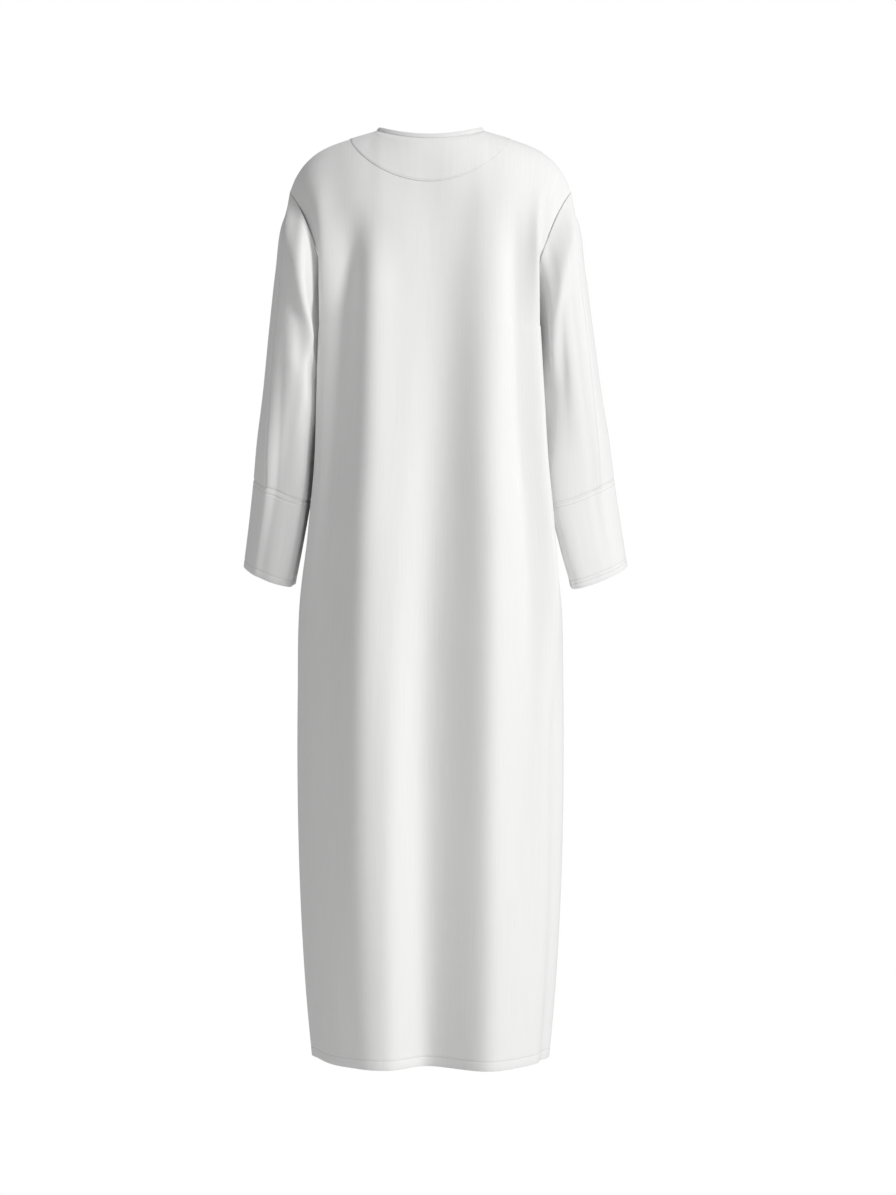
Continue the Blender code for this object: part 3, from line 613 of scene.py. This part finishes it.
def cloth_material(name, colour):
    """Matte woven cloth: fine crossed threads, faint lengthwise slubs and a soft sheen."""
    material = bpy.data.materials.new(name)
    material.use_nodes = True
    tree = material.node_tree
    shader = tree.nodes["Principled BSDF"]
    shader.inputs["Roughness"].default_value = 0.82
    shader.inputs["Sheen Weight"].default_value = 0.18
    shader.inputs["Sheen Roughness"].default_value = 0.45
    shader.inputs["Specular IOR Level"].default_value = 0.25
    place = add_node(tree, "ShaderNodeUVMap", (-1400, 0))
    place.uv_map = "UVMap"
    # Slubs: thin streaks along the length
    stretch = add_node(tree, "ShaderNodeMapping", (-1000, 200), Scale=(620.0, 9.0, 1.0))
    slub = add_node(tree, "ShaderNodeTexNoise", (-800, 200), Scale=1.0, Detail=3.0, Roughness=0.6)
    tree.links.new(place.outputs["UV"], stretch.inputs["Vector"])
    tree.links.new(stretch.outputs["Vector"], slub.inputs["Vector"])
    tint = add_node(tree, "ShaderNodeValToRGB", (-550, 300))
    low, high = tint.color_ramp.elements
    low.position, high.position = 0.30, 0.70
    low.color = tuple(SLUB_SHADE * value for value in colour) + (1.0,)
    high.color = tuple(colour) + (1.0,)
    tree.links.new(slub.outputs["Fac"], tint.inputs["Fac"])
    tree.links.new(tint.outputs["Color"], shader.inputs["Base Color"])
    # Warp and weft threads
    warp = add_node(tree, "ShaderNodeTexWave", (-800, -50), Scale=330.0, Distortion=0.6)
    warp.bands_direction = "X"
    weft = add_node(tree, "ShaderNodeTexWave", (-800, -350), Scale=300.0, Distortion=0.6)
    weft.bands_direction = "Y"
    for threads in (warp, weft):
        tree.links.new(place.outputs["UV"], threads.inputs["Vector"])
    crossed = add_node(tree, "ShaderNodeMath", (-550, -150))
    crossed.operation = "ADD"
    tree.links.new(warp.outputs["Fac"], crossed.inputs[0])
    tree.links.new(weft.outputs["Fac"], crossed.inputs[1])
    summed = add_node(tree, "ShaderNodeMath", (-380, -50))
    summed.operation = "ADD"
    tree.links.new(crossed.outputs["Value"], summed.inputs[0])
    tree.links.new(slub.outputs["Fac"], summed.inputs[1])
    bump = add_node(tree, "ShaderNodeBump", (-200, -100), Strength=0.35, Distance=0.00018)
    tree.links.new(summed.outputs["Value"], bump.inputs["Height"])
    tree.links.new(bump.outputs["Normal"], shader.inputs["Normal"])
    return material


def thread_material(name, colour):
    """Sewing thread with a fine twist."""
    material = bpy.data.materials.new(name)
    material.use_nodes = True
    tree = material.node_tree
    shader = tree.nodes["Principled BSDF"]
    shader.inputs["Base Color"].default_value = tuple(colour) + (1.0,)
    shader.inputs["Roughness"].default_value = 0.55
    place = add_node(tree, "ShaderNodeTexCoord", (-800, 0))
    twist = add_node(tree, "ShaderNodeTexNoise", (-600, 0), Scale=5000.0, Detail=2.0)
    tree.links.new(place.outputs["Object"], twist.inputs["Vector"])
    bump = add_node(tree, "ShaderNodeBump", (-300, 0), Strength=0.4, Distance=0.00006)
    tree.links.new(twist.outputs["Fac"], bump.inputs["Height"])
    tree.links.new(bump.outputs["Normal"], shader.inputs["Normal"])
    return material


def light(name, place, target, size, power):
    """A white area light that looks at a point."""
    data = bpy.data.lights.new(name, "AREA")
    data.size = size
    data.energy = power
    lamp = bpy.data.objects.new(name, data)
    lamp.location = place
    lamp.rotation_mode = "QUATERNION"
    lamp.rotation_quaternion = (Vector(target) - Vector(place)).to_track_quat("-Z", "Y")
    bpy.context.scene.collection.objects.link(lamp)


def line_beside(points, edge, distance):
    """A line on a grid at a distance from one edge, and its normals."""
    normals = grid_normals(points)
    if edge in ("start", "end"):
        points, normals = np.swapaxes(points, 0, 1), np.swapaxes(normals, 0, 1)
    if edge in ("bottom", "end"):
        points, normals = points[::-1], normals[::-1]
    both = np.concatenate([points, normals], axis=-1)
    line = []
    for across in range(both.shape[1]):
        length = lengths_along(points[:, across])
        line.append([np.interp(distance, length, values) for values in both[:, across].T])
    return np.array(line)


def stitches(name, lines):
    """Rows of thread stitches on the cloth, one small spindle a stitch."""
    shape = bmesh.new()
    for line in lines:
        length = lengths_along(line[:, :3])
        count = int(length[-1] / STITCH_PITCH)
        places = (np.arange(count) + 0.5) * length[-1] / count
        half = STITCH_LENGTH / 2
        before, middle, after = (
            np.stack([np.interp(places + step, length, values) for values in line.T], axis=-1)
            for step in (-half, 0.0, half)
        )
        along = unit(after[:, :3] - before[:, :3])
        across = unit(np.cross(middle[:, 3:], along))
        out = unit(np.cross(along, across))
        axes = (along * half, across * THREAD_WIDTH / 2, out * THREAD_HEIGHT / 2)
        for place, *sides in zip(middle[:, :3], *axes):
            turn = Matrix.Translation(place) @ Matrix(np.array(sides).T).to_4x4()
            bmesh.ops.create_icosphere(shape, subdivisions=1, radius=1.0, matrix=turn)
    mesh = bpy.data.meshes.new(name)
    shape.to_mesh(mesh)
    shape.free()
    mesh.shade_smooth()
    mesh.materials.append(THREAD)
    thread = bpy.data.objects.new(name, mesh)
    bpy.context.scene.collection.objects.link(thread)
    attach(thread, "root")


def ring_point(ring, angles, side):
    """Points round a sleeve ring at angles from the outer side, front first."""
    turn = np.radians(angles)
    tilt = np.radians(ring.tilt)
    change = np.clip((ARM_CHANGE[0] - ring.z) / (ARM_CHANGE[0] - ARM_CHANGE[1]), 0.0, 1.0)
    spread = 1.0 + (ARMS[side].spread - 1.0) * change
    out = spread * ring.half_span * np.cos(turn)
    ahead = ring.half_depth * np.sin(turn)
    return np.stack(
        [
            ring.x + ARMS[side].swing * change + out * np.cos(tilt),
            ring.y - ahead,
            ring.z + out * np.sin(tilt) + ahead * np.tan(np.radians(ring.pitch)),
        ],
        axis=-1,
    )


def armhole_side(side, face):
    """The side of a panel's grid where a sleeve is set in."""
    return "end" if (side == "left") == (face == "back") else "start"


def armhole_curve(side, face, places):
    """The armhole's half loop on a panel, from the shoulder seam down, at given levels."""
    curve = upper_points(face, np.array((1.0,)), places)[:, 0]
    return curve * np.array((1.0 if side == "left" else -1.0, 1.0, 1.0))


def crease_depth(side, angles, along):
    """How far the creases of one sleeve move its cloth."""
    depth = np.zeros(np.broadcast(angles, along).shape)
    for crease in SLEEVE_CREASES:
        if crease.side != side:
            continue
        run = (along - crease.along_top) / (crease.along_low - crease.along_top)
        centre = crease.angle_top + (crease.angle_low - crease.angle_top) * run
        swell = np.sin(np.pi * np.clip(run, 0.0, 1.0)) ** CREASE_SWELL
        away = (angles - centre + 180.0) % 360.0 - 180.0
        depth = depth + crease.depth * swell * np.exp(-((away / crease.width) ** 2))
    return depth


def ring_angles(ring, face, shares):
    """Angles of one half sleeve's columns on a ring, from the overarm seam inwards."""
    if face == "front":
        return -ring.seam_angle + (180.0 + ring.seam_angle) * shares
    return 360.0 - ring.seam_angle - (180.0 - ring.seam_angle) * shares


def arm_form(side, face):
    """The front or back half of a sleeve and its cuff, from the armhole to the hem."""
    mirror = np.array((1.0 if side == "left" else -1.0, 1.0, 1.0))
    shares = closer_at_ends(SLEEVE_COLUMNS, SLEEVE_HALF_RUN, SLEEVE_HALF_RUN)
    angles = [180.0 * shares if face == "front" else 360.0 - 180.0 * shares]
    loops = [armhole_curve(side, face, shares)]
    even = np.linspace(0.0, 1.0, ARMHOLE_POINTS)
    centres = [np.mean([armhole_curve(side, half, even) for half in FACES], axis=(0, 1))]
    for ring in SLEEVE_RINGS + CUFF_RINGS:
        angles.append(ring_angles(ring, face, shares))
        loops.append(ring_point(ring, angles[-1], side) * mirror)
        centres.append(mirror * (ring.x, ring.y, ring.z))
    loops, angles = np.stack(loops), np.stack(angles)
    length = lengths_along(np.array(centres))
    seam = length[len(SLEEVE_RINGS)]
    sleeve = seam * closer_at_ends(SLEEVE_ROWS, seam, seam)
    deep = length[-1] - seam
    rows = CUFF_SEAM_STITCHES + tuple(deep - line for line in CUFF_HEM_STITCHES[side])
    cuff = seam + deep * closer_at_ends(CUFF_ROWS, deep, None, lines=rows, length=deep)
    along = np.concatenate([sleeve, cuff[cuff > seam]])
    points = smooth(length, loops, along)
    turn = smooth(length, angles, along)
    if armhole_side(side, face) == "end":
        points, turn = points[:, ::-1], turn[:, ::-1]
    fade = ramp(shares, 0.0, SLEEVE_SEAM_FADE) * ramp(1.0 - shares, 0.0, SLEEVE_SEAM_FADE)
    depth = crease_depth(side, turn, along[:, None] / seam) * fade
    points = points + depth[..., None] * grid_normals(points)
    return points[: len(sleeve)], points[len(sleeve) - 1 :]


def yoke_line(x):
    """Height of the half-moon's lower edge at a distance from the centre."""
    reach = np.clip(1.0 - (x / YOKE_HALF_WIDTH) ** 2, 0.0, 1.0)
    return YOKE_TOP_Z - YOKE_DROP * reach**YOKE_CURVE


def half_moon_grid():
    """The half-moon's points, laid on the back's columns and lifted off them."""
    back = PANELS["back"][: UPPER_ROWS + 1]
    normals = grid_normals(PANELS["back"])[: UPPER_ROWS + 1]
    for _ in range(HALF_MOON_EASINGS):
        normals[:, 1:-1] = unit(normals[:, :-2] + 2.0 * normals[:, 1:-1] + normals[:, 2:])
    ends = np.interp((-YOKE_HALF_WIDTH, YOKE_HALF_WIDTH), back[0, :, 0], np.arange(back.shape[1]))
    columns = []
    for place in np.linspace(ends[0], ends[1], HALF_MOON_COLUMNS + 1):
        low = min(int(place), back.shape[1] - 2)
        part = place - low
        line = (1 - part) * back[:, low] + part * back[:, low + 1]
        normal = unit((1 - part) * normals[:, low] + part * normals[:, low + 1])
        length = lengths_along(line)
        above = line[:, 2] - yoke_line(line[:, 0])
        last = int(np.argmax(above < 0.0))
        edge = np.interp(0.0, above[[last, last - 1]], length[[last, last - 1]])
        squeeze = min(1.0, edge / (2.0 * HALF_MOON_NEAR))
        even = np.linspace(0.0, 1.0, HALF_MOON_ROWS + 1)[:-1] ** HALF_MOON_CLOSER
        wanted = [(edge - squeeze * HALF_MOON_NEAR) * share for share in even]
        lift = [HALF_MOON_LIFT] * len(wanted)
        for turned in HALF_MOON_EDGE:
            wanted.append(edge - squeeze * turned.distance)
            lift.append(HALF_MOON_LIFT * turned.lift)
        wanted, lift = np.array(wanted), np.array(lift)
        lift *= HALF_MOON_TOP_LIFT + (1 - HALF_MOON_TOP_LIFT) * ramp(wanted, 0.0, HALF_MOON_TAPER)
        laid = np.stack([np.interp(wanted, length, line[:, axis]) for axis in range(3)], axis=-1)
        away = np.stack([np.interp(wanted, length, normal[:, axis]) for axis in range(3)], axis=-1)
        columns.append(laid + lift[:, None] * unit(away))
    return np.stack(columns, axis=1)


def neck_band_form():
    """The band round the neck edge, standing on the neck seam, one closed ring."""
    line, normal = [], []
    for face in FACES:
        panel = PANELS[face]
        neck = np.abs(panel[0, :, 0]) < NECK_SIDE.x + NECK_TOLERANCE
        line.append(panel[0, neck][:-1])
        normal.append(grid_normals(panel)[0, neck][:-1])
    line, normal = np.concatenate(line), np.concatenate(normal)
    for _ in range(BAND_EASINGS):
        normal = unit(np.roll(normal, 1, axis=0) + 2 * normal + np.roll(normal, -1, axis=0))
    along = unit(np.roll(line, -1, axis=0) - np.roll(line, 1, axis=0))
    inwards = unit(np.cross(along, normal))
    stand = BAND_STAND_CENTRE + (BAND_STAND_SIDE - BAND_STAND_CENTRE) * (
        np.abs(line[:, :1]) / NECK_SIDE.x
    )
    lean = unit(inwards + stand * np.array((0.0, 0.0, 1.0)))
    out = unit(np.cross(lean, along))
    rows = [line + row.rise * BAND_HEIGHT * lean + row.puff * BAND_PUFF * out for row in BAND_FACE]
    under = [line + BAND_HEIGHT * rise * lean - BAND_DEPTH * out for rise in BAND_INSIDE]
    grid = np.stack(under[::-1] + rows)
    return np.concatenate([grid, grid[:, :1]], axis=1)


CLOTH = cloth_material("white_cloth", (0.86, 0.86, 0.855))
BAND_CLOTH = cloth_material("white_band_cloth", (0.82, 0.82, 0.815))
THREAD = thread_material("grey_white_thread", (0.50, 0.50, 0.49))

# Body panels
PANELS = {face: panel_form(face) for face in FACES}
for face in FACES:
    form = sunk(PANELS[face], seams("top", "start", "end") + stitched("bottom", HEM_STITCH))
    stitches(face + "_hem_stitches", [line_beside(form, "bottom", HEM_STITCH)])
    form = turn_hem(form, TURNED_HEM)
    nodes = (f"upper_{face}_panel", f"lower_{face}_panel")
    panel = cloth_object(face + "_panel_cloth", cloth_mesh(face, form), CLOTH, nodes)

# Sleeves, with their cuffs kept for the next step
CUFF_HALVES = {}
for side in SIDES:
    for face in FACES:
        name = f"{side}_{face}_sleeve"
        form, CUFF_HALVES[side, face] = arm_form(side, face)
        form = sunk(form, seams("top", "bottom", "start", "end"))
        if face == "back":
            overarm = line_beside(form, armhole_side(side, face), OVERARM_STITCH)
            stitches(side + "_overarm_stitches", [overarm])
        sleeve = cloth_object(name + "_cloth", cloth_mesh(name, form), CLOTH, (name,))

# Cuffs
for side in SIDES:
    back, front = (CUFF_HALVES[side, face] for face in FACES)
    form = np.concatenate([back, front[:, 1:]], axis=1)
    hem_rows = CUFF_HEM_STITCHES[side]
    sinks = seams("top") + stitched("top", *CUFF_SEAM_STITCHES) + stitched("bottom", *hem_rows)
    form = sunk(form, sinks)
    seam_lines = [line_beside(form, "top", distance) for distance in CUFF_SEAM_STITCHES]
    stitches(side + "_cuff_seam_stitches", seam_lines)
    hem_lines = [line_beside(form, "bottom", distance) for distance in hem_rows]
    stitches(side + "_cuff_hem_stitches", hem_lines)
    form = turn_hem(form, TURNED_HEM)
    mesh = cloth_mesh(side + "_cuff", form, closed=True)
    cuff = cloth_object(side + "_cuff_cloth", mesh, CLOTH, (side + "_cuff",))

# Half-moon
half_moon_form = half_moon_grid()
stitch_row = HALF_MOON_ROWS + [edge.distance for edge in HALF_MOON_EDGE].index(HALF_MOON_STITCH)
half_moon_line = half_moon_form[stitch_row]
half_moon_face = half_moon_form[: stitch_row + HALF_MOON_NORMAL_ROWS]
half_moon_out = grid_normals(half_moon_face)[stitch_row]
stitches("half_moon_stitches", [np.concatenate([half_moon_line, half_moon_out], axis=-1)])
half_moon = cloth_object(
    "half_moon_cloth",
    cloth_mesh("half_moon", half_moon_form),
    CLOTH,
    ("half_moon_yoke",),
    wall=HALF_MOON_WALL,
)

# Neck band
band = cloth_object(
    "neck_band_cloth",
    cloth_mesh("neck_band", neck_band_form(), closed=True),
    BAND_CLOTH,
    ("neck_band",),
    wall=BAND_WALL,
)

# Floor and light
floor_shape = bmesh.new()
bmesh.ops.create_circle(floor_shape, cap_ends=True, segments=96, radius=FLOOR_RADIUS)
bmesh.ops.translate(floor_shape, verts=floor_shape.verts, vec=(0.0, 0.0, FLOOR_Z))
floor_mesh = bpy.data.meshes.new("floor")
floor_shape.to_mesh(floor_mesh)
floor_shape.free()
floor_material = bpy.data.materials.new("pale_floor")
floor_material.use_nodes = True
floor_tree = floor_material.node_tree
floor_shader = floor_tree.nodes["Principled BSDF"]
floor_shader.inputs["Base Color"].default_value = (0.93, 0.93, 0.93, 1.0)
floor_shader.inputs["Roughness"].default_value = 0.9
floor_glow = floor_tree.nodes.new("ShaderNodeEmission")
floor_seen = floor_tree.nodes.new("ShaderNodeLightPath")
floor_either = floor_tree.nodes.new("ShaderNodeMixShader")
floor_tree.links.new(floor_seen.outputs["Is Camera Ray"], floor_either.inputs["Fac"])
floor_tree.links.new(floor_shader.outputs["BSDF"], floor_either.inputs[1])
floor_tree.links.new(floor_glow.outputs["Emission"], floor_either.inputs[2])
floor_surface = floor_tree.nodes["Material Output"].inputs["Surface"]
floor_tree.links.new(floor_either.outputs["Shader"], floor_surface)
floor_mesh.materials.append(floor_material)
floor = bpy.data.objects.new("floor", floor_mesh)
bpy.context.scene.collection.objects.link(floor)

world = bpy.data.worlds.new("studio")
bpy.context.scene.world = world
world.use_nodes = True
world_tree = world.node_tree
surround = world_tree.nodes["Background"]
surround.inputs["Color"].default_value = (1.0, 1.0, 1.0, 1.0)
surround.inputs["Strength"].default_value = SURROUND
backdrop = world_tree.nodes.new("ShaderNodeBackground")
backdrop.inputs["Color"].default_value = (1.0, 1.0, 1.0, 1.0)
backdrop.inputs["Strength"].default_value = 1.0
seen = world_tree.nodes.new("ShaderNodeLightPath")
either = world_tree.nodes.new("ShaderNodeMixShader")
world_tree.links.new(seen.outputs["Is Camera Ray"], either.inputs["Fac"])
world_tree.links.new(surround.outputs["Background"], either.inputs[1])
world_tree.links.new(backdrop.outputs["Background"], either.inputs[2])
world_tree.links.new(either.outputs["Shader"], world_tree.nodes["World Output"].inputs["Surface"])
light("key", KEY_PLACE, KEY_TARGET, KEY_SIZE, KEY_POWER)
